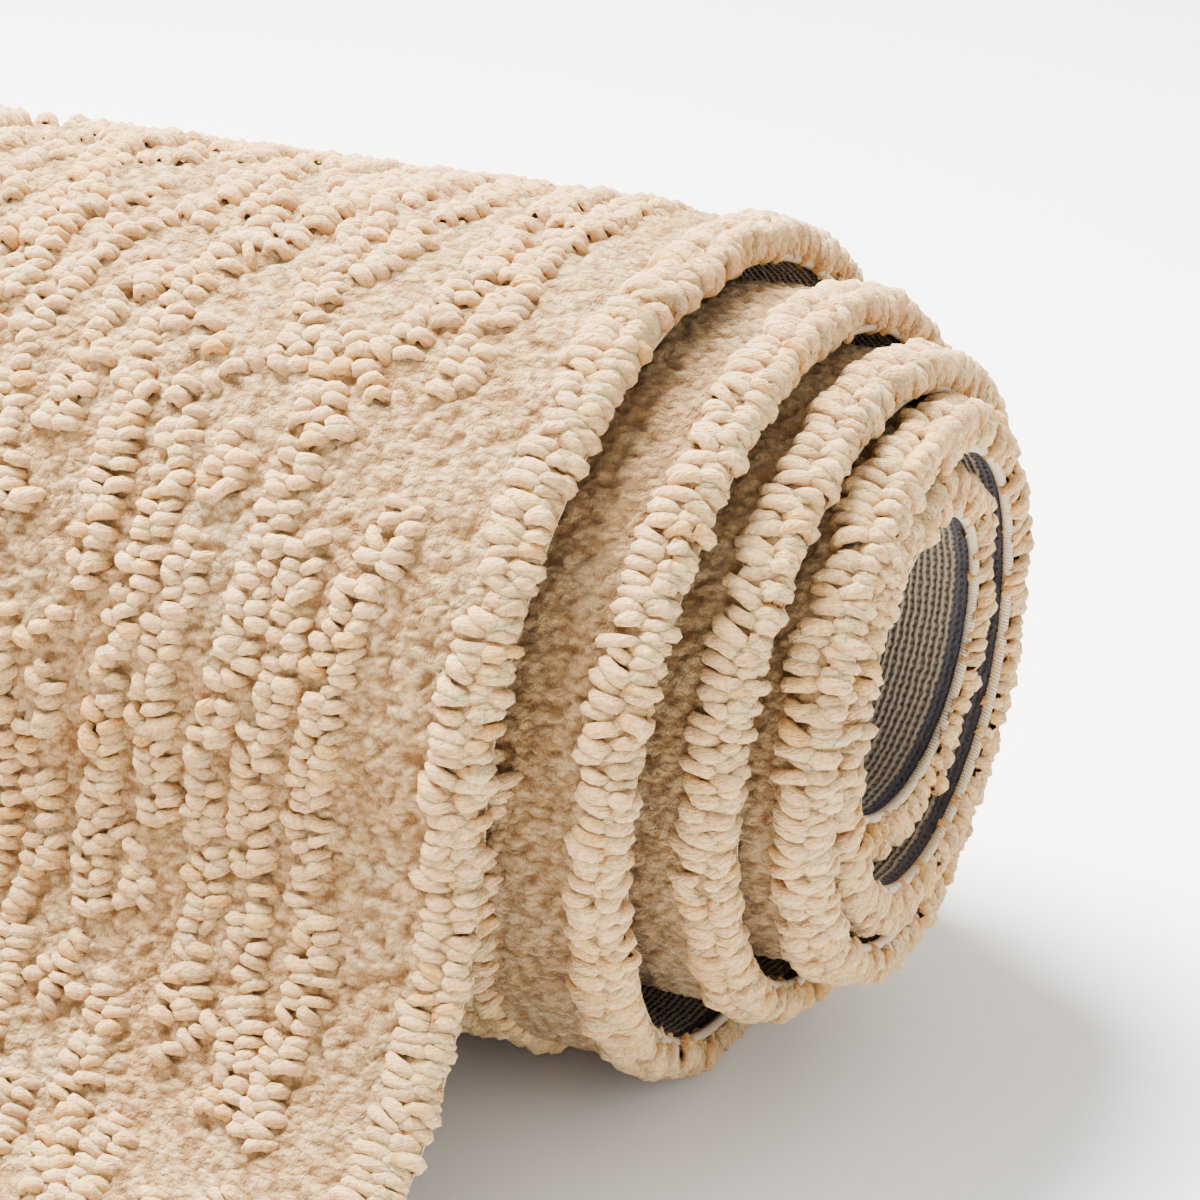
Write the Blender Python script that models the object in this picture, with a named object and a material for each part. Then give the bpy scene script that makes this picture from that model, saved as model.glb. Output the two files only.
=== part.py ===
"""A thick wool rug, rolled up loosely with its pile outwards.

The rug is one band of cloth. Its loose end lies flat on the floor, curves up the front of the
roll, goes over the top and winds inwards for five turns around an open core. Each turn
has moved a little to the right, so the right end of the roll steps out and the left end steps in.
Both long edges of the backing are serged with a wool cord that sits under the pile.

Lengths are in metres. X runs along the roll, -Y is the side of the loose end and +Z is up.
"""

import math

import bpy
import numpy as np

# The rug when it is laid flat.
RUG_LENGTH = 3.000
RUG_WIDTH = 0.800
RUG_THICKNESS = 0.0130

# The serged cord along each long edge, in the notch below the overhanging pile.
CORD_WIDTH = 0.0030
CORD_HEIGHT = 0.0028
CORD_GAP = 0.0003
NOTCH_WIDTH = CORD_WIDTH + 2 * CORD_GAP
NOTCH_HEIGHT = CORD_HEIGHT + 2 * CORD_GAP

# The rolled part, one row for each quarter turn inwards from the front of the outermost turn.
# turned is in degrees: 0 is the front, 90 the top, 180 the back and 270 the floor.
# radius is from the axis of the roll to the middle of the cloth.
# shift is how far right the cloth's edges have moved.
ROLL_ROWS = (
    # turned, radius, shift
    (0, 0.1210, 0.0110),
    (90, 0.1165, 0.0260),
    (180, 0.1155, 0.0260),
    (270, 0.1130, 0.0300),
    (360, 0.1070, 0.0450),
    (450, 0.1024, 0.0570),
    (540, 0.0940, 0.0560),
    (630, 0.0915, 0.0575),
    (720, 0.0869, 0.0655),
    (810, 0.0884, 0.0760),
    (900, 0.0798, 0.0790),
    (990, 0.0765, 0.0790),
    (1080, 0.0727, 0.0850),
    (1170, 0.0743, 0.0885),
    (1260, 0.0645, 0.0850),
    (1350, 0.0600, 0.0820),
    (1440, 0.0560, 0.0860),
    (1530, 0.0560, 0.0860),
    (1620, 0.0490, 0.0800),
    (1710, 0.0428, 0.0735),
    (1800, 0.0395, 0.0680),
)
ROLL_STEP_DEG = 8.0

# The outermost turn rests on the floor, where the weight of the roll presses it flat.
RESTING_RADIUS = ROLL_ROWS[3][1]
FLAT_SPOT_DEPTH = 0.0007
AXIS_HEIGHT = RESTING_RADIUS + RUG_THICKNESS / 2 - FLAT_SPOT_DEPTH

# The loose end: a quarter circle down from the front of the roll, then flat on the floor.
LOOSE_SHIFT = 0.0085
LOOSE_RADIUS = AXIS_HEIGHT - RUG_THICKNESS / 2
LOOSE_STEP_DEG = 7.5
FLAT_STEPS = 8

SHARP_ANGLE = math.radians(40)
WOOL_COLOUR = (0.80, 0.68, 0.52, 1.0)
CORD_COLOUR = (0.78, 0.70, 0.58, 1.0)


def clear_scene():
    for obj in list(bpy.data.objects):
        bpy.data.objects.remove(obj, do_unlink=True)


def smooth_rows(turned):
    """Radius and shift at the angles in turned, by a cubic through the rows of the roll."""
    rows = np.array(ROLL_ROWS)
    slopes = np.gradient(rows[:, 1:], rows[:, 0], axis=0)
    index = np.clip(np.searchsorted(rows[:, 0], turned, side="right") - 1, 0, len(rows) - 2)
    span = rows[index + 1, 0] - rows[index, 0]
    t = ((turned - rows[index, 0]) / span)[:, None]
    start, end = rows[index, 1:], rows[index + 1, 1:]
    rise = span[:, None]
    value = (
        (2 * t**3 - 3 * t**2 + 1) * start
        + (t**3 - 2 * t**2 + t) * rise * slopes[index]
        + (3 * t**2 - 2 * t**3) * end
        + (t**3 - t**2) * rise * slopes[index + 1]
    )
    return value[:, 0], value[:, 1]


def rolled_path():
    """Rows of y, z and shift down the middle of the rolled cloth, from the front inwards."""
    last = ROLL_ROWS[-1][0]
    turned = np.linspace(0, last, round(last / ROLL_STEP_DEG) + 1)
    radius, shift = smooth_rows(turned)
    angle = np.radians(turned)
    return np.column_stack([-radius * np.cos(angle), AXIS_HEIGHT + radius * np.sin(angle), shift])


def path_length(path):
    return float(np.linalg.norm(np.diff(path[:, :2], axis=0), axis=1).sum())


def loose_path(flat_length):
    """The same rows for the loose end, from its tip up to the front of the roll."""
    front_y = -ROLL_ROWS[0][1]
    landing_y = front_y - LOOSE_RADIUS
    flat = [
        (landing_y - flat_length * (1 - i / FLAT_STEPS), RUG_THICKNESS / 2, LOOSE_SHIFT)
        for i in range(FLAT_STEPS)
    ]
    steps = round(90 / LOOSE_STEP_DEG)
    curve = []
    for i in range(steps):
        angle = math.radians(90 * (1 - i / steps))
        share = i / steps
        ease = share * share
        shift = LOOSE_SHIFT + (ROLL_ROWS[0][2] - LOOSE_SHIFT) * ease
        y = front_y - LOOSE_RADIUS * (1 - math.cos(angle))
        curve.append((y, AXIS_HEIGHT - LOOSE_RADIUS * math.sin(angle), shift))
    return np.array(flat + curve)


def rug_path():
    """Rows of y, z and shift for the whole rug. What the roll leaves of its length lies flat."""
    rolled = rolled_path()
    curve_length = LOOSE_RADIUS * math.pi / 2
    flat_length = RUG_LENGTH - path_length(rolled) - curve_length
    return np.vstack([loose_path(flat_length), rolled])


def pile_directions(path):
    """At each row of the path, the direction in Y and Z from the backing to the pile."""
    along = np.gradient(path[:, :2], axis=0)
    along /= np.linalg.norm(along, axis=1)[:, None]
    return np.column_stack([-along[:, 1], along[:, 0]])


def swept_band(name, path, outline, colour):
    """One closed solid: an outline of (inwards from the right edge, above the backing) pairs,
    carried along the path. Cloth that would go below the floor is pressed flat on it."""
    towards_pile = pile_directions(path)
    inset, height = np.array(outline).T
    above_middle = height - RUG_THICKNESS / 2
    x = path[:, 2:3] - inset[None, :]
    y = path[:, 0:1] + towards_pile[:, 0:1] * above_middle[None, :]
    z = path[:, 1:2] + towards_pile[:, 1:2] * above_middle[None, :]
    points = np.stack([x, y, np.maximum(z, 0.0)], axis=2).reshape(-1, 3)

    around = len(outline)
    faces = []
    for row in range(len(path) - 1):
        for i in range(around):
            j = (i + 1) % around
            low, high = row * around, (row + 1) * around
            faces.append((low + i, high + i, high + j, low + j))
    last = (len(path) - 1) * around
    faces.append(tuple(range(around)))
    faces.append(tuple(last + i for i in reversed(range(around))))

    mesh = bpy.data.meshes.new(name)
    mesh.from_pydata(points.tolist(), [], faces)
    mesh.update()
    obj = bpy.data.objects.new(name, mesh)
    bpy.context.scene.collection.objects.link(obj)
    material = bpy.data.materials.new(name)
    material.use_nodes = True
    surface = material.node_tree.nodes["Principled BSDF"]
    surface.inputs["Base Color"].default_value = colour
    surface.inputs["Roughness"].default_value = 0.95
    mesh.materials.append(material)
    mesh.shade_smooth()
    mesh.set_sharp_from_angle(angle=SHARP_ANGLE)
    return obj


def carpet_outline():
    """The cloth's section, with a notch under the pile along each long edge."""
    right = [
        (NOTCH_WIDTH, 0.0),
        (NOTCH_WIDTH, NOTCH_HEIGHT),
        (0.0, NOTCH_HEIGHT),
        (0.0, RUG_THICKNESS),
    ]
    left = [(RUG_WIDTH - inset, height) for inset, height in reversed(right)]
    return right + left


def cord_outline(centre_inset):
    """A six-sided cord section that fills the notch but for the gap around it."""
    half = CORD_WIDTH / 2
    side_rise = CORD_HEIGHT / 2
    middle = CORD_GAP + side_rise
    return [
        (centre_inset - half, middle),
        (centre_inset - half / 2, middle + side_rise),
        (centre_inset + half / 2, middle + side_rise),
        (centre_inset + half, middle),
        (centre_inset + half / 2, middle - side_rise),
        (centre_inset - half / 2, middle - side_rise),
    ]


def centre_on_origin(objects):
    """Moves everything so that the origin is under the middle of the whole rug."""
    points = np.array([vertex.co for obj in objects for vertex in obj.data.vertices])
    middle = (points.min(axis=0) + points.max(axis=0)) / 2
    for obj in objects:
        for vertex in obj.data.vertices:
            vertex.co.x -= middle[0]
            vertex.co.y -= middle[1]


def main():
    clear_scene()
    path = rug_path()
    cord_inset = CORD_GAP + CORD_WIDTH / 2
    objects = [
        swept_band("carpet", path, carpet_outline(), WOOL_COLOUR),
        swept_band("edge_cord_right", path, cord_outline(cord_inset), CORD_COLOUR),
        swept_band("edge_cord_left", path, cord_outline(RUG_WIDTH - cord_inset), CORD_COLOUR),
    ]
    centre_on_origin(objects)


main()
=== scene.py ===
"""Looks for a rolled up wool rug: raised loop ribs over a low pile, with a woven backing.

Everything on the rug is placed in flat rug coordinates, which bend() carries onto the roll:
w, how far in from the right long edge; s, how far along from the tip of the loose end; and
h, how high above the underside of the backing. All lengths are in metres.
"""

import math

import bpy
import numpy as np
from mathutils import Matrix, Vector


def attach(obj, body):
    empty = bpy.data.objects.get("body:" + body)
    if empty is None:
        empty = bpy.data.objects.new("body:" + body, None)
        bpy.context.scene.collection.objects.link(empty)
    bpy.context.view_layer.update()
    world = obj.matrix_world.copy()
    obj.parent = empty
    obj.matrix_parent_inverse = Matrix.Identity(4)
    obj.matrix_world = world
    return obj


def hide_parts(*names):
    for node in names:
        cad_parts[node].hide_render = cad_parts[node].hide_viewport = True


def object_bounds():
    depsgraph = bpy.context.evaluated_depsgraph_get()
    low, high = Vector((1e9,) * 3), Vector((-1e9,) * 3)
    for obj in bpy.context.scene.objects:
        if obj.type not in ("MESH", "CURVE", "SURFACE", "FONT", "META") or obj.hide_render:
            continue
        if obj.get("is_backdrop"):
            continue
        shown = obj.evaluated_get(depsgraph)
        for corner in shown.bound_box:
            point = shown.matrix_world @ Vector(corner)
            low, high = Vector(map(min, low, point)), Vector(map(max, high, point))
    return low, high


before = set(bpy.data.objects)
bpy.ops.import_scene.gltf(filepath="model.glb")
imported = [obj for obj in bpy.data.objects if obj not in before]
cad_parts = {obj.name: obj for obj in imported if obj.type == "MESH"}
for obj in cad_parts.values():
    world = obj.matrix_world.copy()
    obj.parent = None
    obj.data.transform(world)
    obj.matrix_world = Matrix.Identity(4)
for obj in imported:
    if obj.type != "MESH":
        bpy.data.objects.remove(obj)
CAD_LOW, CAD_HIGH = (np.array(corner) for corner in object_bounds())

# The rug and its roll, as the CAD model has them.
RUG_LENGTH = 3.000
RUG_WIDTH = 0.800
RUG_THICKNESS = 0.0130
ROLL_ROWS = (
    # turned in degrees, radius, shift
    (0, 0.1210, 0.0110),
    (90, 0.1165, 0.0260),
    (180, 0.1155, 0.0260),
    (270, 0.1130, 0.0300),
    (360, 0.1070, 0.0450),
    (450, 0.1024, 0.0570),
    (540, 0.0940, 0.0560),
    (630, 0.0915, 0.0575),
    (720, 0.0869, 0.0655),
    (810, 0.0884, 0.0760),
    (900, 0.0798, 0.0790),
    (990, 0.0765, 0.0790),
    (1080, 0.0727, 0.0850),
    (1170, 0.0743, 0.0885),
    (1260, 0.0645, 0.0850),
    (1350, 0.0600, 0.0820),
    (1440, 0.0560, 0.0860),
    (1530, 0.0560, 0.0860),
    (1620, 0.0490, 0.0800),
    (1710, 0.0428, 0.0735),
    (1800, 0.0395, 0.0680),
)
FLAT_SPOT_DEPTH = 0.0007
AXIS_HEIGHT = ROLL_ROWS[3][1] + RUG_THICKNESS / 2 - FLAT_SPOT_DEPTH
LOOSE_SHIFT = 0.0085
LOOSE_RADIUS = AXIS_HEIGHT - RUG_THICKNESS / 2

# How finely the line of the cloth is followed: flat part, curve up the front, and turns.
FLAT_ROWS = 60
CURVE_ROWS = 90
TURN_ROWS = 1200

# Heights in the cloth, above the underside of the backing.
BACKING_UNDERSIDE = 0.0003
EDGE_UNDERSIDE = 0.0022
BACKING_TOP = 0.0030
LOW_PILE_TOP = 0.0103
LOOP_TOP = 0.0136

# The yarn: one loop, and how the loops stand in the ribs.
LOOP_LENGTH = 0.0098
LOOP_RADIUS = 0.0021
LOOP_PITCH = 0.0036
RIB_SPACING = 0.0172
EDGE_BORDER = 0.042

# The low pile stands a little higher under the ribs, where the loops are rooted in it.
RIDGE_CELL = 0.002
RIDGE_FULL = 0.30
RIDGE_HEIGHT = 0.0014

# Where the pile is drawn in full: this much before and after the front of the roll, this far in
# from the right edge, and on later turns only the band that steps out past the turn over it.
NEAR_BEFORE = 0.135
NEAR_AFTER = 0.262
NEAR_WIDTH = 0.372
BAND_WIDTH = 0.048
EDGE_DETAIL_WIDTH = 0.09
OUTER_TURN = 0.74
END_MARGIN = 0.004
RIB_BASE = 0.0066

# The underside beside each long edge, from the edge inwards.
CORD_MIDDLE = 0.0018
CORD_RADIUS = 0.0015
STRIPE_START = 0.0034
STRIPE_END = 0.0072

rng = np.random.default_rng(7)


# ---------------------------------------------------------------- the roll

def smooth_rows(turned):
    """Radius and shift at the angles in turned, by a cubic through the rows of the roll."""
    rows = np.array(ROLL_ROWS)
    slopes = np.gradient(rows[:, 1:], rows[:, 0], axis=0)
    index = np.clip(np.searchsorted(rows[:, 0], turned, side="right") - 1, 0, len(rows) - 2)
    span = rows[index + 1, 0] - rows[index, 0]
    t = ((turned - rows[index, 0]) / span)[:, None]
    rise = span[:, None]
    value = (
        (2 * t**3 - 3 * t**2 + 1) * rows[index, 1:]
        + (t**3 - 2 * t**2 + t) * rise * slopes[index]
        + (3 * t**2 - 2 * t**3) * rows[index + 1, 1:]
        + (t**3 - t**2) * rise * slopes[index + 1]
    )
    return value[:, 0], value[:, 1]


def rug_path():
    """Rows of y, z and shift down the middle of the cloth, and how far along each one is."""
    turned = np.linspace(0, ROLL_ROWS[-1][0], TURN_ROWS)
    radius, shift = smooth_rows(turned)
    angle = np.radians(turned)
    rolled = np.column_stack(
        [-radius * np.cos(angle), AXIS_HEIGHT + radius * np.sin(angle), shift]
    )
    rolled_length = np.linalg.norm(np.diff(rolled[:, :2], axis=0), axis=1).sum()
    flat_length = RUG_LENGTH - rolled_length - LOOSE_RADIUS * math.pi / 2
    landing = -ROLL_ROWS[0][1] - LOOSE_RADIUS
    flat_y = np.linspace(landing - flat_length, landing, FLAT_ROWS, endpoint=False)
    flat = np.column_stack(
        [flat_y, np.full(FLAT_ROWS, RUG_THICKNESS / 2), np.full(FLAT_ROWS, LOOSE_SHIFT)]
    )
    share = np.linspace(0, 1, CURVE_ROWS, endpoint=False)
    lean = np.radians(90 * (1 - share))
    curve = np.column_stack(
        [
            -ROLL_ROWS[0][1] - LOOSE_RADIUS * (1 - np.cos(lean)),
            AXIS_HEIGHT - LOOSE_RADIUS * np.sin(lean),
            LOOSE_SHIFT + (ROLL_ROWS[0][2] - LOOSE_SHIFT) * share**2,
        ]
    )
    path = np.vstack([flat, curve, rolled])
    steps = np.linalg.norm(np.diff(path[:, :2], axis=0), axis=1)
    return path, np.concatenate([[0.0], np.cumsum(steps)])


PATH, ALONG = rug_path()
# Along the rug: the front of the outermost turn, and the inner end.
FRONT = float(ALONG[FLAT_ROWS + CURVE_ROWS])
INNER_END = float(ALONG[-1])
TANGENT = np.gradient(PATH[:, :2], axis=0)
TANGENT /= np.linalg.norm(TANGENT, axis=1)[:, None]
X_MOVE = CAD_LOW[0] - (LOOSE_SHIFT - RUG_WIDTH)
Y_MOVE = CAD_LOW[1] - PATH[0, 0]


def bend(points):
    """Carries points of (w, s, h) from the flat rug onto the roll."""
    w, s, h = points[..., 0], points[..., 1], points[..., 2]
    y = np.interp(s, ALONG, PATH[:, 0])
    z = np.interp(s, ALONG, PATH[:, 1])
    shift = np.interp(s, ALONG, PATH[:, 2])
    along_y = np.interp(s, ALONG, TANGENT[:, 0])
    along_z = np.interp(s, ALONG, TANGENT[:, 1])
    beyond = np.where(s < 0, s, np.where(s > INNER_END, s - INNER_END, 0.0))
    up = h - RUG_THICKNESS / 2
    y = y - along_z * up + along_y * beyond
    z = z + along_y * up + along_z * beyond
    return np.stack([shift - w + X_MOVE, y + Y_MOVE, np.maximum(z, 0.0004)], axis=-1)


# ---------------------------------------------------------------- meshes

def make_mesh(name, flat_points, faces, material, attributes=(), smooth=True):
    """One piece, from points in rug coordinates. It keeps them as the attribute rug, in mm."""
    points = flat_points.reshape(-1, 3)
    faces = np.asarray(faces, dtype=np.int32)
    mesh = bpy.data.meshes.new(name)
    mesh.vertices.add(len(points))
    mesh.vertices.foreach_set("co", bend(points).astype(np.float32).ravel())
    corners = faces.shape[1]
    mesh.loops.add(faces.size)
    mesh.loops.foreach_set("vertex_index", faces.ravel())
    mesh.polygons.add(len(faces))
    mesh.polygons.foreach_set("loop_start", np.arange(0, faces.size, corners, dtype=np.int32))
    mesh.polygons.foreach_set("use_smooth", np.full(len(faces), smooth))
    mesh.update(calc_edges=True)
    rug = mesh.attributes.new("rug", "FLOAT_VECTOR", "POINT")
    rug.data.foreach_set("vector", (points * 1000).astype(np.float32).ravel())
    for key, values in attributes:
        kind = "FLOAT_VECTOR" if values.ndim == 2 else "FLOAT"
        layer = mesh.attributes.new(key, kind, "POINT")
        field = "vector" if values.ndim == 2 else "value"
        layer.data.foreach_set(field, values.astype(np.float32).ravel())
    lowest, highest = points[:, :2].min(axis=0), points[:, :2].max(axis=0)
    uv = (points[:, :2] - lowest) / (highest - lowest) * 0.998 + 0.001
    layer = mesh.uv_layers.new(name="OFBake")
    layer.data.foreach_set("uv", uv[faces.ravel()].astype(np.float32).ravel())
    obj = bpy.data.objects.new(name, mesh)
    bpy.context.scene.collection.objects.link(obj)
    mesh.materials.append(material)
    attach(obj, "root")
    return obj


def grid_faces(rows, columns, closed=False):
    """Quads of a grid whose points run row by row. closed joins the last column to the first."""
    wide = columns if closed else columns - 1
    row, column = np.meshgrid(np.arange(rows - 1), np.arange(wide), indexing="ij")
    after = (column + 1) % columns
    low, high = row * columns, (row + 1) * columns
    return np.stack([low + column, high + column, high + after, low + after], -1).reshape(-1, 4)


def waves(where, lengths, phases, sizes):
    """A smooth irregular line: the sum of a few waves."""
    total = np.zeros_like(where)
    for length, phase, size in zip(lengths, phases, sizes):
        total += size * np.sin(2 * math.pi * where / length + phase)
    return total


# ---------------------------------------------------------------- materials

def new_material(name, roughness, sheen, glow=0.0):
    material = bpy.data.materials.new(name)
    material.use_nodes = True
    nodes, links = material.node_tree.nodes, material.node_tree.links
    surface = nodes["Principled BSDF"]
    surface.inputs["Roughness"].default_value = roughness
    surface.inputs["Specular IOR Level"].default_value = 0.15
    surface.inputs["Sheen Weight"].default_value = sheen
    surface.inputs["Sheen Roughness"].default_value = 0.6
    surface.inputs["Sheen Tint"].default_value = (1.0, 0.86, 0.66, 1.0)
    surface.inputs["Subsurface Weight"].default_value = glow
    surface.inputs["Subsurface Radius"].default_value = (1.0, 0.55, 0.28)
    surface.inputs["Subsurface Scale"].default_value = 0.0022
    return material, nodes, links, surface


def attribute(nodes, name):
    node = nodes.new("ShaderNodeAttribute")
    node.attribute_name = name
    return node


def noise(nodes, links, vector, scale, detail, stretch=None):
    """The value of a noise texture in rug millimetres, stretched if asked."""
    if stretch is not None:
        scaled = nodes.new("ShaderNodeVectorMath")
        scaled.operation = "MULTIPLY"
        scaled.inputs[1].default_value = stretch
        links.new(vector, scaled.inputs[0])
        vector = scaled.outputs[0]
    node = nodes.new("ShaderNodeTexNoise")
    node.inputs["Scale"].default_value = scale
    node.inputs["Detail"].default_value = detail
    links.new(vector, node.inputs["Vector"])
    return node.outputs["Fac"]


def ramp(nodes, links, value, stops):
    node = nodes.new("ShaderNodeValToRGB")
    elements = node.color_ramp.elements
    while len(elements) < len(stops):
        elements.new(0.5)
    for element, (place, colour) in zip(elements, stops):
        element.position = place
        element.color = (*colour, 1.0)
    links.new(value, node.inputs["Fac"])
    return node.outputs["Color"]


def mix(nodes, links, share, first, second, mode="MIX"):
    node = nodes.new("ShaderNodeMix")
    node.data_type = "RGBA"
    node.blend_type = mode
    if isinstance(share, float):
        node.inputs["Factor"].default_value = share
    else:
        links.new(share, node.inputs["Factor"])
    for value, socket in ((first, node.inputs["A"]), (second, node.inputs["B"])):
        if isinstance(value, tuple):
            socket.default_value = (*value, 1.0)
        else:
            links.new(value, socket)
    return node.outputs["Result"]


def maths(nodes, links, operation, first, second=0.0, third=0.0):
    node = nodes.new("ShaderNodeMath")
    node.operation = operation
    for value, socket in zip((first, second, third), node.inputs):
        if isinstance(value, (int, float)):
            socket.default_value = value
        else:
            links.new(value, socket)
    return node.outputs["Value"]


def bump(nodes, links, surface, height, distance, strength):
    node = nodes.new("ShaderNodeBump")
    node.inputs["Distance"].default_value = distance
    node.inputs["Strength"].default_value = strength
    links.new(height, node.inputs["Height"])
    links.new(node.outputs["Normal"], surface.inputs["Normal"])


def loop_material():
    """Thick, softly spun wool: each loop its own cream, fine fibres along it, and a painted warm shade
    low on each loop and on its sides, where the loops crowd together.
    """
    material, nodes, links, surface = new_material("wool_loops", 0.9, 0.18, glow=0.45)
    yarn = attribute(nodes, "yarn").outputs["Vector"]
    tint = attribute(nodes, "tint").outputs["Fac"]
    lift = attribute(nodes, "lift").outputs["Fac"]
    cream = ramp(
        nodes,
        links,
        tint,
        (
            (0.0, (0.57, 0.40, 0.21)),
            (0.25, (0.73, 0.50, 0.265)),
            (0.6, (0.86, 0.605, 0.325)),
            (0.85, (0.82, 0.56, 0.25)),
            (1.0, (0.73, 0.44, 0.155)),
        ),
    )
    rug = attribute(nodes, "rug").outputs["Vector"]
    fibres = noise(nodes, links, yarn, 1.0, 4.0, (0.35, 1.5, 1.0))
    streak = ramp(nodes, links, fibres, ((0.32, (0.84, 0.76, 0.66)), (0.6, (1.04, 1.04, 1.04))))
    toned = mix(nodes, links, 1.0, cream, streak, "MULTIPLY")
    fuzz = noise(nodes, links, rug, 0.85, 5.0)
    mottle = ramp(nodes, links, fuzz, ((0.33, (0.86, 0.75, 0.60)), (0.6, (1.05, 1.05, 1.04))))
    toned = mix(nodes, links, 1.0, toned, mottle, "MULTIPLY")
    # Painted shade: low lift darkens and warms the lower part and the sides of each loop, where the
    # loops crowd together.
    painted_crevice_shade = ramp(nodes, links, lift, ((0.10, (0.80, 0.56, 0.31)), (0.60, (1.0, 1.0, 1.0))))
    links.new(mix(nodes, links, 1.0, toned, painted_crevice_shade, "MULTIPLY"), surface.inputs["Base Color"])
    height = maths(nodes, links, "MULTIPLY_ADD", fuzz, 0.9, fibres)
    bump(nodes, links, surface, height, 0.0026, 1.0)
    return material


def low_pile_material(name, lumps_in_shader):
    """Low matted pile: soft tufts a few millimetres across, with painted shade in the hollows between
    tufts and on the inner turns, in the bands between the turns over them.
    """
    material, nodes, links, surface = new_material(name, 0.95, 0.20)
    rug = attribute(nodes, "rug").outputs["Vector"]
    wander = nodes.new("ShaderNodeTexNoise")
    wander.inputs["Scale"].default_value = 0.55
    links.new(rug, wander.inputs["Vector"])
    bent = nodes.new("ShaderNodeVectorMath")
    bent.operation = "MULTIPLY_ADD"
    bent.inputs[1].default_value = (2.4, 2.4, 0.0)
    links.new(wander.outputs["Color"], bent.inputs[0])
    links.new(rug, bent.inputs[2])
    squashed = nodes.new("ShaderNodeVectorMath")
    squashed.operation = "MULTIPLY"
    squashed.inputs[1].default_value = (0.29, 0.50, 0.40)
    links.new(bent.outputs[0], squashed.inputs[0])
    tufts = nodes.new("ShaderNodeTexVoronoi")
    tufts.feature = "SMOOTH_F1"
    tufts.inputs["Scale"].default_value = 1.0
    tufts.inputs["Smoothness"].default_value = 0.25
    links.new(squashed.outputs[0], tufts.inputs["Vector"])
    tuft = maths(nodes, links, "SUBTRACT", 1.0, tufts.outputs["Distance"])
    lift = tuft if lumps_in_shader else attribute(nodes, "lift").outputs["Fac"]
    patches = noise(nodes, links, rug, 0.045, 3.0)
    mottle = noise(nodes, links, rug, 0.35, 3.0)
    fuzz = noise(nodes, links, rug, 2.2, 4.0, (1.0, 0.45, 1.0))
    cream = ramp(
        nodes,
        links,
        patches,
        ((0.35, (0.47, 0.30, 0.135)), (0.5, (0.53, 0.365, 0.18)), (0.68, (0.54, 0.405, 0.225))),
    )
    spots = ramp(nodes, links, mottle, ((0.3, (0.80, 0.73, 0.62)), (0.6, (1.0, 1.0, 1.0))))
    toned = mix(nodes, links, 1.0, cream, spots, "MULTIPLY")
    streak = ramp(nodes, links, fuzz, ((0.3, (0.84, 0.80, 0.73)), (0.65, (1.10, 1.10, 1.10))))
    toned = mix(nodes, links, 1.0, toned, streak, "MULTIPLY")
    # Painted shade in the hollows between tufts, and a slight painted light on their tops.
    between = ramp(nodes, links, tuft, ((0.25, (0.62, 0.52, 0.40)), (0.62, (1.08, 1.08, 1.08))))
    toned = mix(nodes, links, 1.0, toned, between, "MULTIPLY")
    # More painted shade in the hollows between tufts, from the lift of the pile.
    hollow = ramp(nodes, links, lift, ((0.0, (0.62, 0.50, 0.37)), (0.6, (1.0, 1.0, 1.0))))
    toned = mix(nodes, links, 1.0, toned, hollow, "MULTIPLY")
    # Painted shade on the pile of the inner turns, which the turns over it keep in shadow.
    turn_shade_mask = attribute(nodes, "turn_shade_mask").outputs["Fac"]
    turn_shade_colour = ramp(nodes, links, turn_shade_mask, ((0.0, (1.0, 1.0, 1.0)), (1.0, (0.66, 0.62, 0.57))))
    links.new(mix(nodes, links, 1.0, toned, turn_shade_colour, "MULTIPLY"), surface.inputs["Base Color"])
    height = maths(nodes, links, "MULTIPLY_ADD", fuzz, 0.6, tuft)
    bump(nodes, links, surface, height, 0.0022, 0.9)
    return material


def backing_material():
    """Columns of taupe ground yarn with charcoal between, and a dark line by each edge."""
    material, nodes, links, surface = new_material("woven_backing", 0.95, 0.1)
    rug = attribute(nodes, "rug").outputs["Vector"]
    split = nodes.new("ShaderNodeSeparateXYZ")
    links.new(rug, split.inputs[0])
    across, along = split.outputs["X"], split.outputs["Y"]
    wander = maths(nodes, links, "MULTIPLY", noise(nodes, links, rug, 0.25, 2.0), 1.6)
    zigzag = maths(nodes, links, "MULTIPLY", maths(nodes, links, "PINGPONG", along, 1.4), 0.35)
    placed = maths(nodes, links, "ADD", maths(nodes, links, "ADD", across, wander), zigzag)
    column = maths(nodes, links, "PINGPONG", placed, 1.0)
    cover = maths(nodes, links, "ADD", column, zigzag)
    fibres = noise(nodes, links, rug, 2.5, 3.0)
    cover = maths(nodes, links, "MULTIPLY_ADD", fibres, 0.5, cover)
    yarn = ramp(
        nodes,
        links,
        cover,
        (
            (0.34, (0.022, 0.020, 0.022)),
            (0.52, (0.075, 0.060, 0.044)),
            (0.74, (0.19, 0.155, 0.11)),
            (1.0, (0.30, 0.25, 0.185)),
        ),
    )
    from_edge = maths(nodes, links, "PINGPONG", across, RUG_WIDTH * 500)
    edge_noise = maths(nodes, links, "MULTIPLY_ADD", fibres, 1.2, -0.6)
    from_edge = maths(nodes, links, "ADD", from_edge, edge_noise)
    inside = maths(nodes, links, "GREATER_THAN", from_edge, STRIPE_START * 1000)
    dark = maths(nodes, links, "LESS_THAN", from_edge, STRIPE_END * 1000)
    stripe = maths(nodes, links, "MULTIPLY", inside, dark)
    charcoal = ramp(nodes, links, fibres, ((0.3, (0.030, 0.028, 0.036)), (0.7, (0.105, 0.10, 0.12))))
    edged = mix(nodes, links, stripe, yarn, charcoal)
    selvedge = maths(nodes, links, "LESS_THAN", from_edge, STRIPE_START * 1000)
    colour = mix(nodes, links, selvedge, edged, (0.56, 0.44, 0.29))
    links.new(colour, surface.inputs["Base Color"])
    bump(nodes, links, surface, cover, 0.0010, 0.9)
    return material


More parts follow.
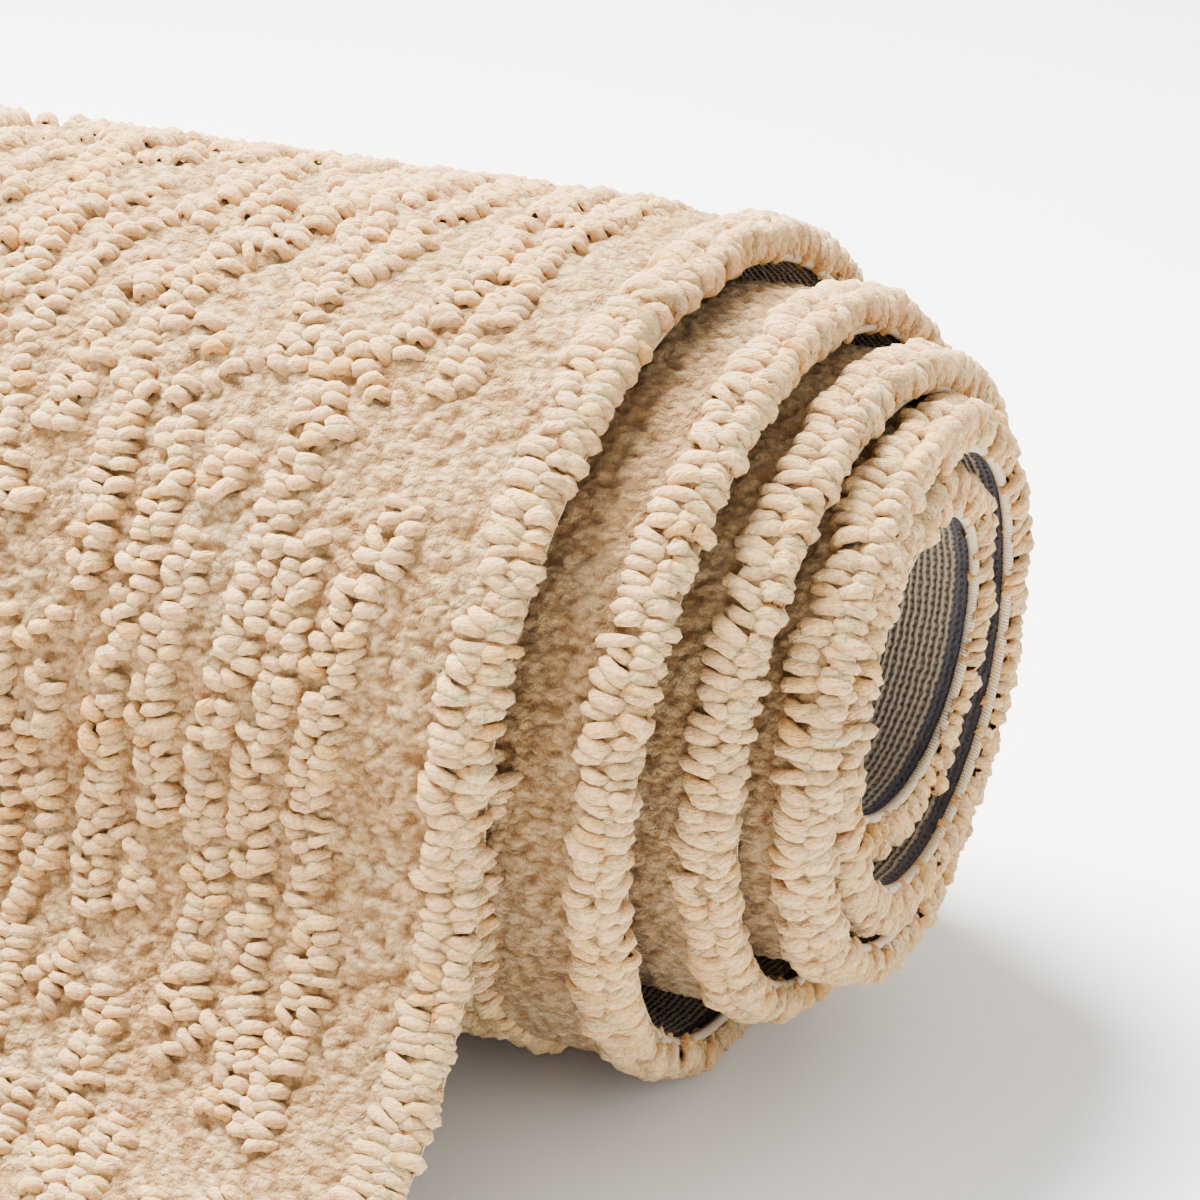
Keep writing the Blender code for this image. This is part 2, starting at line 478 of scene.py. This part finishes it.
def cord_material():
    """Cream serging yarn, wound tightly over the edge of the backing, with painted shade in the grooves
    between the wraps.
    """
    material, nodes, links, surface = new_material("serging", 0.9, 0.25)
    split = nodes.new("ShaderNodeSeparateXYZ")
    wound = attribute(nodes, "yarn").outputs["Vector"]
    links.new(wound, split.inputs[0])
    slanted = maths(nodes, links, "MULTIPLY_ADD", split.outputs["Y"], 0.35, split.outputs["X"])
    ridge = maths(nodes, links, "PINGPONG", slanted, 0.55)
    ridge = maths(nodes, links, "MULTIPLY", ridge, 1.8)
    uneven = noise(nodes, links, wound, 0.9, 3.0)
    lift = maths(nodes, links, "MULTIPLY_ADD", uneven, 0.35, ridge)
    # Painted shade: the cream darkens to brown in the grooves between the wraps, with random unevenness
    # on top.
    colour = ramp(
        nodes,
        links,
        lift,
        ((0.1, (0.34, 0.24, 0.14)), (0.45, (0.66, 0.51, 0.33)), (1.0, (0.82, 0.68, 0.48))),
    )
    links.new(colour, surface.inputs["Base Color"])
    bump(nodes, links, surface, lift, 0.0007, 0.9)
    return material


# ---------------------------------------------------------------- loops of yarn

def place_loops(w, s, yaw, base, tilt=0.0, length=LOOP_LENGTH, radius=LOOP_RADIUS, arch=None):
    """A table of loops, one row each: w, s, base height, yaw, tilt, length, radius, arch, tint."""
    count = len(w)
    wide = lambda value: np.broadcast_to(np.asarray(value, float), (count,))
    if arch is None:
        arch = LOOP_TOP - LOOP_RADIUS - np.asarray(base, float)
    length = wide(length) * rng.uniform(0.78, 1.20, count)
    radius = wide(radius) * rng.uniform(0.82, 1.14, count)
    arch = wide(arch) * rng.uniform(0.80, 1.10, count)
    tint = np.clip(rng.normal(0.5, 0.17, count), 0, 1)
    odd = rng.random(count)
    tint = np.where(odd < 0.05, rng.uniform(0.0, 0.15, count), tint)
    tint = np.where(odd > 0.93, rng.uniform(0.85, 1.0, count), tint)
    columns = (w, s, wide(base), wide(yaw), wide(tilt), length, radius, arch, tint)
    return np.column_stack(columns)


def loops_mesh(name, loops, stations, around, material):
    """Every loop of the table as one piece: an arch of thick yarn that rises from the pile."""
    w, s, base, yaw, tilt, length, radius, arch, tint = (loops[:, i, None, None] for i in range(9))
    reach = math.radians(78)
    phi = np.linspace(-reach, reach, stations)[None, :, None]
    psi = np.linspace(-math.radians(118), math.radians(118), around)[None, None, :]
    half = length / 2 - radius * 0.8
    place = np.sin(phi) / math.sin(reach)
    run = half * place
    rise = arch * (1 - np.abs(place) ** 3)
    run_slope = half
    rise_slope = -3 * arch * place * np.abs(place)
    size = np.hypot(run_slope, rise_slope)
    out_run, out_rise = -rise_slope / size, run_slope / size
    slub = rng.uniform(-0.14, 0.14, len(loops))[:, None, None]
    lumps = rng.normal(0, 0.085, (len(loops), stations, around))
    girth = radius * (1 - 0.16 * (phi / reach) ** 2 + slub * np.sin(2.2 * phi + 40 * slub))
    girth = girth * (1 + lumps)
    local_run = run + girth * np.cos(psi) * out_run
    local_rise = rise + girth * np.cos(psi) * out_rise
    curl = rng.uniform(-0.0009, 0.0009, len(loops))[:, None, None]
    local_side = girth * np.sin(psi) + curl * np.cos(phi)
    tipped_run = local_run * np.cos(tilt) - local_rise * np.sin(tilt)
    tipped_rise = local_run * np.sin(tilt) + local_rise * np.cos(tilt)
    point_w = w + tipped_run * np.cos(yaw) - local_side * np.sin(yaw)
    point_s = s + tipped_run * np.sin(yaw) + local_side * np.cos(yaw)
    point_h = base + tipped_rise
    points = np.stack([point_w, point_s, point_h], axis=-1)
    shape = point_h.shape
    # The lift attribute is only a mask for painted shade: low at the root and on the sides of each
    # loop, high on its crest.
    crest_light = 0.35 + 0.65 * np.clip(0.5 + 0.75 * np.cos(psi), 0, 1)
    lift = np.broadcast_to(np.clip(local_rise / (arch + radius), 0, 1) * crest_light, shape)
    seed = np.broadcast_to(rng.uniform(0, 900, len(loops))[:, None, None], shape)
    twist = 0.45 * phi * length * 500
    yarn = np.stack(
        [
            np.broadcast_to(phi * length * 500, shape) + seed,
            np.broadcast_to(psi * radius * 1000, shape) + twist,
            seed,
        ],
        axis=-1,
    )
    one = grid_faces(stations, around)
    start = np.arange(len(loops))[:, None, None] * stations * around
    faces = (one[None, :, ::-1] + start).reshape(-1, 4)
    attributes = (
        ("tint", np.broadcast_to(tint, shape).ravel()),
        ("lift", np.clip(lift, 0, 1).ravel()),
        ("yarn", yarn.reshape(-1, 3)),
    )
    return make_mesh(name, points, faces, material, attributes)


def rib_rows(middle, start, end):
    """Two staggered files of loops along one wavy, broken rib."""
    s = np.arange(start, end, LOOP_PITCH) + rng.uniform(0, LOOP_PITCH)
    phases = rng.uniform(0, 2 * math.pi, 6)
    lengths = rng.uniform((0.21, 0.095, 0.052), (0.33, 0.14, 0.07))
    sway = waves(s, lengths, phases[:3], (0.0030, 0.0026, 0.0011))
    breaks = waves(s, lengths * (0.71, 0.83, 0.64), phases[3:], (0.6, 0.6, 0.5))
    lean = np.gradient(sway, s)
    rows = []
    for side in (-1, 1):
        file_s = s + (LOOP_PITCH / 2 if side > 0 else 0.0)
        keep = breaks > -0.62 - 0.15 * side
        keep &= rng.random(len(s)) > 0.04
        w = middle + sway + side * 0.0026 + rng.normal(0, 0.0008, len(s))
        yaw = -np.arctan(lean) * 0.5 + side * 0.18 + rng.normal(0, 0.24, len(s))
        rows.append(np.column_stack([w, file_s + rng.normal(0, 0.0005, len(s)), yaw])[keep])
    return np.vstack(rows)


def link_rows(middle, start, end):
    """Short diagonals that cross from one rib to the next, in loops turned along them."""
    rows = []
    s = start + rng.uniform(0, 0.12)
    while s < end - 0.04:
        steps = int(rng.integers(5, 9))
        way = rng.choice((-1.0, 1.0))
        rise = rng.uniform(0.0026, 0.0040)
        for i in range(steps):
            w = middle + RIB_SPACING * i / (steps - 1)
            yaw = -way * 0.35 + rng.normal(0, 0.35)
            rows.append((w, s + way * rise * (i - steps / 2), yaw))
        s += rng.uniform(0.09, 0.26)
    return np.array(rows).reshape(-1, 3)


def thin_out(rows):
    """Drops each loop that would stand on one already placed."""
    kept, cells = [], {}
    for i, (w, s, _) in enumerate(rows):
        cell = (int(w / 0.006), int(s / 0.006))
        near = (
            rows[j]
            for a in (-1, 0, 1)
            for b in (-1, 0, 1)
            for j in cells.get((cell[0] + a, cell[1] + b), ())
        )
        if all(math.hypot((w - n[0]) / 0.0047, (s - n[1]) / 0.0026) > 1 for n in near):
            cells.setdefault(cell, []).append(i)
            kept.append(i)
    return rows[kept]


def all_ribs():
    """Every loop of the ribs on the part of the pile that shows, as rows of w, s and yaw."""
    shown_end = FRONT + OUTER_TURN
    first, last = EDGE_BORDER, RUG_WIDTH - EDGE_BORDER
    middles = np.linspace(first, last, round((last - first) / RIB_SPACING) + 1)
    rows = [rib_rows(middle, 0.012, shown_end) for middle in middles]
    rows += [link_rows(middle, 0.012, shown_end) for middle in middles[:-1]]
    return thin_out(np.vstack(rows))


def edge_loops(side, start, end):
    """The raised border along a long edge: loops across it, and a file that tips over the edge."""
    mirror = 1.0 if side == "right" else -1.0
    place = (lambda w: w) if side == "right" else (lambda w: RUG_WIDTH - w)
    s = np.arange(start, end, LOOP_PITCH * 1.04)
    count = len(s)
    swell = waves(s, (0.11, 0.047), rng.uniform(0, 6, 2), (0.0009, 0.0007))
    raised = np.where(s > FRONT + 1.9, 0.0016, 0.0)
    tables = []
    inner_w = 0.0086 + swell + rng.normal(0, 0.0010, count)
    tables.append(
        place_loops(
            place(inner_w),
            s + rng.normal(0, 0.0004, count),
            mirror * rng.normal(0.10, 0.21, count),
            0.0068 + raised,
            length=0.0134,
            radius=0.0022,
            arch=0.0046,
        )
    )
    outer_w = 0.0036 + 0.6 * swell + rng.normal(0, 0.0005, count)
    tables.append(
        place_loops(
            place(outer_w),
            s + LOOP_PITCH / 2 + rng.normal(0, 0.0004, count),
            mirror * rng.normal(-0.12, 0.16, count),
            0.0062 + raised,
            tilt=mirror * rng.normal(0.62, 0.16, count),
            length=0.0090,
            radius=0.0022,
            arch=rng.uniform(0.0036, 0.0052, count),
        )
    )
    tables.append(
        place_loops(
            place(0.0030 + rng.normal(0, 0.0006, count)),
            s + rng.normal(0, 0.0006, count),
            mirror * rng.normal(0.0, 0.26, count),
            0.0056 + rng.normal(0, 0.0006, count),
            tilt=mirror * rng.normal(1.36, 0.14, count),
            length=0.0108,
            radius=0.0022,
            arch=rng.uniform(0.0018, 0.0048, count),
        )
    )
    return np.vstack(tables)


def end_loops(at, inwards):
    """The same raised border across a short end of the rug."""
    w = np.arange(0.016, RUG_WIDTH - 0.016, LOOP_PITCH)
    count = len(w)
    tables = []
    for reach, base, tilt in ((0.0100, 0.0068, 0.0), (0.0044, 0.0058, 0.55)):
        tables.append(
            place_loops(
                w + rng.normal(0, 0.0004, count),
                at + inwards * (reach + rng.normal(0, 0.0005, count)),
                math.pi / 2 * inwards + rng.normal(0, 0.15, count),
                base,
                tilt=tilt,
                length=0.0092,
                arch=0.0046,
            )
        )
    return np.vstack(tables)


# ---------------------------------------------------------------- low pile and backing

def tuft_lift(w, s):
    """0 in the hollows between tufts and 1 on top of them, for a jittered lattice of tufts."""
    wide, deep = 0.0048, 0.0036
    w = w + waves(s, (0.019, 0.0083), (0.3, 1.9), (0.0016, 0.0008))
    s = s + waves(w, (0.023, 0.0091), (1.2, 0.7), (0.0018, 0.0009))
    column, row = np.floor(w / wide), np.floor(s / deep)
    nearest = np.full(w.shape, 9.0)
    for a in (-1, 0, 1):
        for b in (-1, 0, 1):
            c, r = column + a, row + b
            hash_a = np.modf(np.abs(np.sin(c * 127.1 + r * 311.7) * 43758.5453))[0]
            hash_b = np.modf(np.abs(np.sin(c * 269.5 + r * 183.3) * 43758.5453))[0]
            across = (w - (c + 0.05 + 0.9 * hash_a) * wide) / wide
            down = (s - (r + 0.05 + 0.9 * hash_b) * deep) / deep
            nearest = np.minimum(nearest, across**2 + down**2)
    return np.clip(1 - nearest * 2.4, 0, 1)


def rib_ridge(loops):
    """A table of how thickly the loops stand, from 0 to 1, in cells of RIDGE_CELL."""
    table = np.zeros((int(RUG_WIDTH / RIDGE_CELL) + 2, int(INNER_END / RIDGE_CELL) + 2))
    cells = (loops[:, :2] / RIDGE_CELL).astype(int)
    np.add.at(table, (cells[:, 0], cells[:, 1]), 1.0)
    for _ in range(3):
        table = (np.roll(table, 1, 0) + 2 * table + np.roll(table, -1, 0)) / 4
        table = (np.roll(table, 1, 1) + 2 * table + np.roll(table, -1, 1)) / 4
    return np.clip(table / RIDGE_FULL, 0, 1)


def low_pile(name, w_range, s_range, step, material, ridge):
    """A patch of the low pile, raised where ridge says, and lumpy where its mesh is fine enough."""
    w = np.linspace(*w_range, max(2, round((w_range[1] - w_range[0]) / step[0]) + 1))
    s = np.linspace(*s_range, max(2, round((s_range[1] - s_range[0]) / step[1]) + 1))
    grid_s, grid_w = np.meshgrid(s, w, indexing="ij")
    lift = tuft_lift(grid_w, grid_s)
    lumps = 0.0018 if step[0] < 0.0025 else 0.0
    roll = waves(grid_w, (0.071, 0.033), (0.4, 2.0), (0.0003, 0.0003))
    roll += waves(grid_s + grid_w * 0.3, (0.083, 0.029), (1.1, 0.2), (0.0004, 0.0002))
    height = LOW_PILE_TOP - 0.0007 + roll + lumps * (lift - 0.75)
    cell_w = (grid_w / RIDGE_CELL).astype(int)
    cell_s = (grid_s / RIDGE_CELL).astype(int)
    height += RIDGE_HEIGHT * ridge[cell_w, cell_s]
    from_edge = np.minimum(
        np.minimum(grid_w, RUG_WIDTH - grid_w), np.minimum(grid_s, INNER_END - grid_s)
    )
    ease = np.clip((from_edge - 0.0008) / 0.0050, 0, 1)
    height = BACKING_TOP - 0.0003 + (height - BACKING_TOP) * np.sqrt(ease)
    points = np.stack([grid_w, grid_s, height], axis=-1)
    faces = grid_faces(len(s), len(w))[:, ::-1]
    # Painted shade masks for the material: lift, for the hollows between tufts, and one that marks the
    # pile of the inner turns, from a little past the front of the roll inwards, for the shade the turns
    # over it cast.
    turn_shade_mask = np.clip((grid_s - FRONT - 0.45) / 0.25, 0, 1)
    attributes = (("lift", lift.ravel()), ("turn_shade_mask", turn_shade_mask.ravel()))
    return make_mesh(name, points, faces, material, attributes)


def backing(material):
    """The woven ground, as one closed sheet of even thickness."""
    inset = 0.0010
    s = np.linspace(0.0015, INNER_END - 0.0015, 420)
    w = np.linspace(inset, RUG_WIDTH - inset, 16)
    section = np.array([(x, BACKING_UNDERSIDE) for x in w] + [(x, BACKING_TOP) for x in w[::-1]])
    near_edge = np.minimum(section[:, 0], RUG_WIDTH - section[:, 0])
    section[:, 1] = np.where(
        (section[:, 1] == BACKING_UNDERSIDE) & (near_edge < STRIPE_START),
        EDGE_UNDERSIDE,
        section[:, 1],
    )
    rows = np.empty((len(s), len(section), 3))
    rows[:, :, 0] = section[None, :, 0]
    rows[:, :, 1] = s[:, None]
    rows[:, :, 2] = section[None, :, 1]
    around = len(section)
    faces = grid_faces(len(s), around, closed=True)
    half = np.arange(len(w) - 1)
    cap = np.stack([half, half + 1, around - 2 - half, around - 1 - half], axis=-1)
    last = (len(s) - 1) * around
    faces = np.vstack([faces, cap, cap[:, ::-1] + last])
    return make_mesh("backing", rows, faces, material, smooth=False)


def serging(name, middle, material):
    """The serged cord along a long edge of the backing."""
    s = np.linspace(0.0005, INNER_END - 0.0005, 800)
    psi = np.linspace(0, 2 * math.pi, 10, endpoint=False)
    grid_s, grid_psi = np.meshgrid(s, psi, indexing="ij")
    radius = CORD_RADIUS * (1 + 0.05 * np.sin(grid_s * 900) * np.sin(grid_s * 410))
    w = middle + radius * np.cos(grid_psi)
    h = 0.0017 + radius * np.sin(grid_psi) * 0.95
    points = np.stack([w, grid_s, h], axis=-1)
    yarn = np.stack([grid_s * 1000, grid_psi * CORD_RADIUS * 1000, np.zeros_like(w)], axis=-1)
    faces = grid_faces(len(s), len(psi), closed=True)
    return make_mesh(name, points, faces, material, (("yarn", yarn.reshape(-1, 3)),))


# ---------------------------------------------------------------- camera, light and floor

# The view, measured about a point on the axis of the roll near its right end.
VIEW_AZIMUTH = 26.4
VIEW_ELEVATION = 22.6
VIEW_DISTANCE = 0.976
VIEW_LENS = 104.6
VIEW_TARGET = (-0.0151, 0.0, 0.0097)


def add_camera():
    turn, lift = math.radians(VIEW_AZIMUTH), math.radians(VIEW_ELEVATION)
    right = np.array([math.cos(turn), math.sin(turn), 0.0])
    ahead = np.array(
        [-math.sin(turn) * math.cos(lift), math.cos(turn) * math.cos(lift), -math.sin(lift)]
    )
    up = np.cross(right, ahead)
    target = np.array(VIEW_TARGET) + (X_MOVE, Y_MOVE, AXIS_HEIGHT)
    place = target - ahead * VIEW_DISTANCE
    data = bpy.data.cameras.new("camera")
    data.lens = VIEW_LENS
    data.sensor_width = 36.0
    data.clip_start = 0.02
    camera = bpy.data.objects.new("camera", data)
    matrix = np.eye(4)
    matrix[:3, 0], matrix[:3, 1], matrix[:3, 2], matrix[:3, 3] = right, up, -ahead, place
    camera.matrix_world = Matrix(matrix.tolist())
    bpy.context.scene.collection.objects.link(camera)
    bpy.context.scene.camera = camera


def add_light(name, place, aim, size, power, colour):
    data = bpy.data.lights.new(name, "AREA")
    data.shape = "DISK"
    data.size = size
    data.energy = power
    data.color = colour
    lamp = bpy.data.objects.new(name, data)
    ahead = np.array(aim) - np.array(place)
    ahead = ahead / np.linalg.norm(ahead)
    side = np.cross(ahead, (0.0, 0.0, 1.0))
    side /= np.linalg.norm(side)
    matrix = np.eye(4)
    matrix[:3, 0], matrix[:3, 1], matrix[:3, 2] = side, np.cross(side, ahead), -ahead
    matrix[:3, 3] = place
    lamp.matrix_world = Matrix(matrix.tolist())
    bpy.context.scene.collection.objects.link(lamp)


def add_studio():
    world = bpy.data.worlds.new("studio")
    world.use_nodes = True
    world.node_tree.nodes["Background"].inputs["Color"].default_value = (1.0, 0.99, 0.97, 1.0)
    world.node_tree.nodes["Background"].inputs["Strength"].default_value = 1.15
    bpy.context.scene.world = world
    add_light("key", (-0.5, 0.3, 1.9), (0.1, 0.1, 0.1), 1.2, 370.0, (1.0, 0.97, 0.92))
    add_light("front", (-1.1, -1.7, 1.0), (0.2, 0.1, 0.1), 1.2, 23.0, (1.0, 0.97, 0.93))
    add_light("side", (1.7, -0.6, 0.9), (0.3, 0.2, 0.1), 1.0, 6.0, (1.0, 0.98, 0.96))
    mesh = bpy.data.meshes.new("floor")
    half = 6.0
    corners = [(-half, -half, 0.0), (half, -half, 0.0), (half, half, 0.0), (-half, half, 0.0)]
    mesh.from_pydata(corners, [], [(0, 1, 2, 3)])
    floor = bpy.data.objects.new("floor", mesh)
    bpy.context.scene.collection.objects.link(floor)
    material = bpy.data.materials.new("pale_floor")
    material.use_nodes = True
    surface = material.node_tree.nodes["Principled BSDF"]
    surface.inputs["Base Color"].default_value = (0.97, 0.97, 0.965, 1.0)
    surface.inputs["Roughness"].default_value = 0.8
    mesh.materials.append(material)
    floor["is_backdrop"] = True
    return floor


# ---------------------------------------------------------------- the whole rug

def build_rug():
    loop_wool = loop_material()
    near_pile = low_pile_material("low_pile_near", False)
    far_pile = low_pile_material("low_pile_far", True)
    near_s = (FRONT - NEAR_BEFORE, FRONT + NEAR_AFTER)
    turn_end = FRONT + OUTER_TURN

    ribs = all_ribs()
    table = place_loops(ribs[:, 0], ribs[:, 1], ribs[:, 2], RIB_BASE)
    edge_right = edge_loops("right", END_MARGIN, INNER_END - END_MARGIN)
    edge_left = edge_loops("left", END_MARGIN, INNER_END - END_MARGIN)
    ridge = rib_ridge(np.vstack([table, edge_right, edge_left]))

    whole_w, far_w = (0.0, RUG_WIDTH), (BAND_WIDTH, RUG_WIDTH)
    patches = (
        # name, across, along, mesh step, material
        ("pile_near", (0.0, NEAR_WIDTH), near_s, (0.0013, 0.0013), near_pile),
        ("pile_band", (0.0, BAND_WIDTH), (near_s[1], INNER_END), (0.0016, 0.0016), near_pile),
        ("pile_loose", whole_w, (0.0, near_s[0]), (0.004, 0.004), far_pile),
        ("pile_left", (NEAR_WIDTH, RUG_WIDTH), near_s, (0.004, 0.004), far_pile),
        ("pile_back", far_w, (near_s[1], turn_end), (0.006, 0.005), far_pile),
        ("pile_inner", far_w, (turn_end, INNER_END), (0.015, 0.010), far_pile),
    )
    pieces = [low_pile(*patch, ridge) for patch in patches]

    close = (table[:, 0] < NEAR_WIDTH) & (table[:, 1] > near_s[0]) & (table[:, 1] < near_s[1])
    close |= (table[:, 0] < EDGE_DETAIL_WIDTH) & (table[:, 1] > near_s[1])
    rest = table[~close]
    loose = rest[:, 1] < near_s[0]
    left = (rest[:, 1] >= near_s[0]) & (rest[:, 1] < near_s[1])
    pieces.append(loops_mesh("loops_near", table[close], 7, 5, loop_wool))
    pieces.append(loops_mesh("loops_loose", rest[loose], 4, 3, loop_wool))
    pieces.append(loops_mesh("loops_left", rest[left], 4, 3, loop_wool))
    pieces.append(loops_mesh("loops_back", rest[~loose & ~left], 4, 3, loop_wool))

    pieces.append(loops_mesh("edge_loops_right", edge_right, 7, 5, loop_wool))
    pieces.append(loops_mesh("edge_loops_left", edge_left, 4, 4, loop_wool))
    pieces.append(loops_mesh("end_loops_outer", end_loops(0.0, 1.0), 4, 4, loop_wool))
    pieces.append(loops_mesh("end_loops_inner", end_loops(INNER_END, -1.0), 4, 4, loop_wool))

    serging_wool = cord_material()
    cord_right = serging("serging_right", CORD_MIDDLE, serging_wool)
    cord_left = serging("serging_left", RUG_WIDTH - CORD_MIDDLE, serging_wool)
    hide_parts("edge_cord_right")
    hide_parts("edge_cord_left")
    pieces += [cord_right, cord_left]

    ground = backing(backing_material())
    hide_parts("carpet")
    return pieces + [ground]


add_camera()
add_studio()
rug = build_rug()
for piece in rug:
    mesh = piece.data
    print(piece.name, "triangles", sum(len(face.vertices) - 2 for face in mesh.polygons))
print("all", sum(len(face.vertices) - 2 for piece in rug for face in piece.data.polygons))
